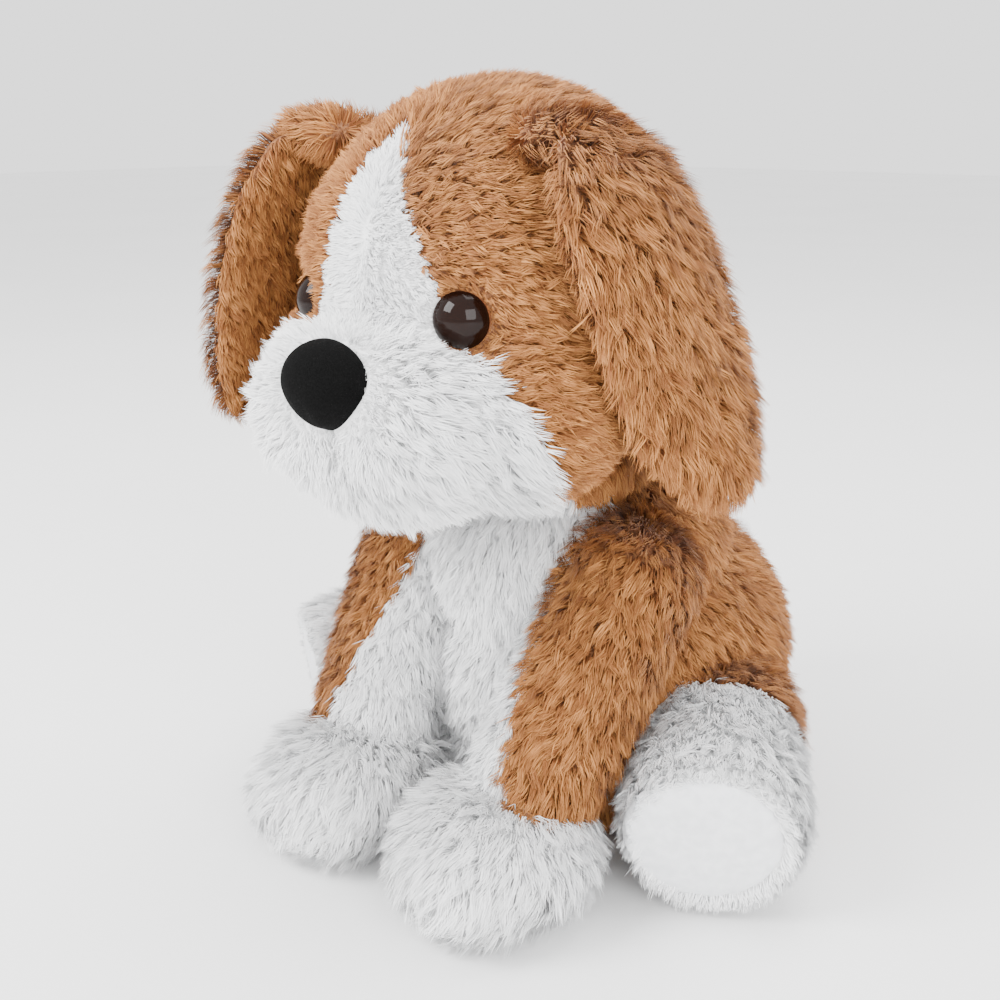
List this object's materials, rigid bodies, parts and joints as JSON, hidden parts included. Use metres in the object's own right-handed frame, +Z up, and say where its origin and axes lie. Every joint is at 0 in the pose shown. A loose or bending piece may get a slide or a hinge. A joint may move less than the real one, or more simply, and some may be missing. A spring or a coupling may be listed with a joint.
{
  "type": "plush dog",
  "caption": "Sitting plush puppy with a turning, nodding head, drooping ears, swinging forelegs, spreading hind legs and a wagging tail.",
  "frame": {"origin": "middle of the flat seat under the torso, on the floor", "axes": "+Z up, the dog faces -Y, +X is the dog's own left"},
  "size_m": [0.254, 0.279, 0.287],
  "materials": {
    "brown_pile": "short brown plush pile",
    "white_pile": "long white plush pile",
    "sole_satin": "smooth satin",
    "fibre_filling": "loose polyester fibre",
    "black_flock": "black flock on a moulded nose",
    "fixing_plastic": "natural moulded plastic",
    "eye_clear": "clear glossy plastic dome",
    "eye_black": "gloss black",
    "eye_iris": "gloss dark brown"
  },
  "bodies": {
    "torso": {"torso_stuffing": "fibre_filling", "seat_panel": "brown_pile", "chest_panel": "white_pile", "back_left_panel": "brown_pile", "back_right_panel": "brown_pile"},
    "neck": {"neck_stuffing": "fibre_filling", "neck_panel": "brown_pile"},
    "head": {"head_stuffing": "fibre_filling", "head_left_panel": "brown_pile", "head_right_panel": "brown_pile", "forehead_blaze": "white_pile", "muzzle_left_panel": "white_pile", "muzzle_right_panel": "white_pile", "chin_panel": "white_pile", "nose": "black_flock", "nose_shank": "fixing_plastic", "nose_washer": "fixing_plastic", "eye_left_dome": "eye_clear", "eye_left_pupil": "eye_black", "eye_left_base": "eye_iris", "eye_left_washer": "fixing_plastic", "eye_right_dome": "eye_clear", "eye_right_pupil": "eye_black", "eye_right_base": "eye_iris", "eye_right_washer": "fixing_plastic", "ear_left_seam": "brown_pile", "ear_right_seam": "brown_pile"},
    "tail": {"tail_stuffing": "fibre_filling", "tail_panel": "brown_pile", "tail_tip_panel": "white_pile"},
    "ear_left": {"ear_left_outer": "brown_pile", "ear_left_lining": "brown_pile"},
    "foreleg_left": {"foreleg_left_stuffing": "fibre_filling", "foreleg_left_outer_panel": "brown_pile", "foreleg_left_inner_panel": "white_pile", "forepaw_left_panel": "white_pile"},
    "hind_leg_left": {"hind_leg_left_stuffing": "fibre_filling", "thigh_left_panel": "brown_pile", "hind_foot_left_panel": "white_pile", "sole_left_pad": "sole_satin"},
    "ear_right": {"ear_right_outer": "brown_pile", "ear_right_lining": "brown_pile"},
    "foreleg_right": {"foreleg_right_stuffing": "fibre_filling", "foreleg_right_outer_panel": "brown_pile", "foreleg_right_inner_panel": "white_pile", "forepaw_right_panel": "white_pile"},
    "hind_leg_right": {"hind_leg_right_stuffing": "fibre_filling", "thigh_right_panel": "brown_pile", "hind_foot_right_panel": "white_pile", "sole_right_pad": "sole_satin"}
  },
  "joints": [
    {"name": "neck_turn", "type": "hinge", "parent": "torso", "child": "neck", "pos_m": [0, -0.044, 0.157], "axis": [0, 0, 1], "range_deg": [-20, 20], "stiffness_Nm_per_rad": 3},
    {"name": "head_nod", "type": "hinge", "parent": "neck", "child": "head", "pos_m": [0, -0.044, 0.157], "axis": [1, 0, 0], "range_deg": [-10, 10], "stiffness_Nm_per_rad": 8},
    {"name": "tail_wag", "type": "hinge", "parent": "torso", "child": "tail", "pos_m": [0, 0.076, 0.046], "axis": [0, 0, 1], "range_deg": [-25, 25], "stiffness_Nm_per_rad": 0.05},
    {"name": "ear_left_swing", "type": "hinge", "parent": "head", "child": "ear_left", "pos_m": [0.073, -0.08, 0.262], "axis": [0, -1, 0], "range_deg": [0, 90]},
    {"name": "foreleg_left_swing", "type": "hinge", "parent": "torso", "child": "foreleg_left", "pos_m": [0.05, -0.05, 0.108], "axis": [-1, 0, 0], "range_deg": [0, 24], "stiffness_Nm_per_rad": 0.5},
    {"name": "hind_leg_left_spread", "type": "hinge", "parent": "torso", "child": "hind_leg_left", "pos_m": [0.066, -0.01, 0.045], "axis": [0, 0, 1], "range_deg": [0, 25], "stiffness_Nm_per_rad": 0.5},
    {"name": "ear_right_swing", "type": "hinge", "parent": "head", "child": "ear_right", "pos_m": [-0.073, -0.08, 0.262], "axis": [0, 1, 0], "range_deg": [0, 90]},
    {"name": "foreleg_right_swing", "type": "hinge", "parent": "torso", "child": "foreleg_right", "pos_m": [-0.05, -0.05, 0.108], "axis": [-1, 0, 0], "range_deg": [0, 24], "stiffness_Nm_per_rad": 0.5},
    {"name": "hind_leg_right_spread", "type": "hinge", "parent": "torso", "child": "hind_leg_right", "pos_m": [-0.066, -0.01, 0.045], "axis": [0, 0, -1], "range_deg": [0, 25], "stiffness_Nm_per_rad": 0.5}
  ]
}
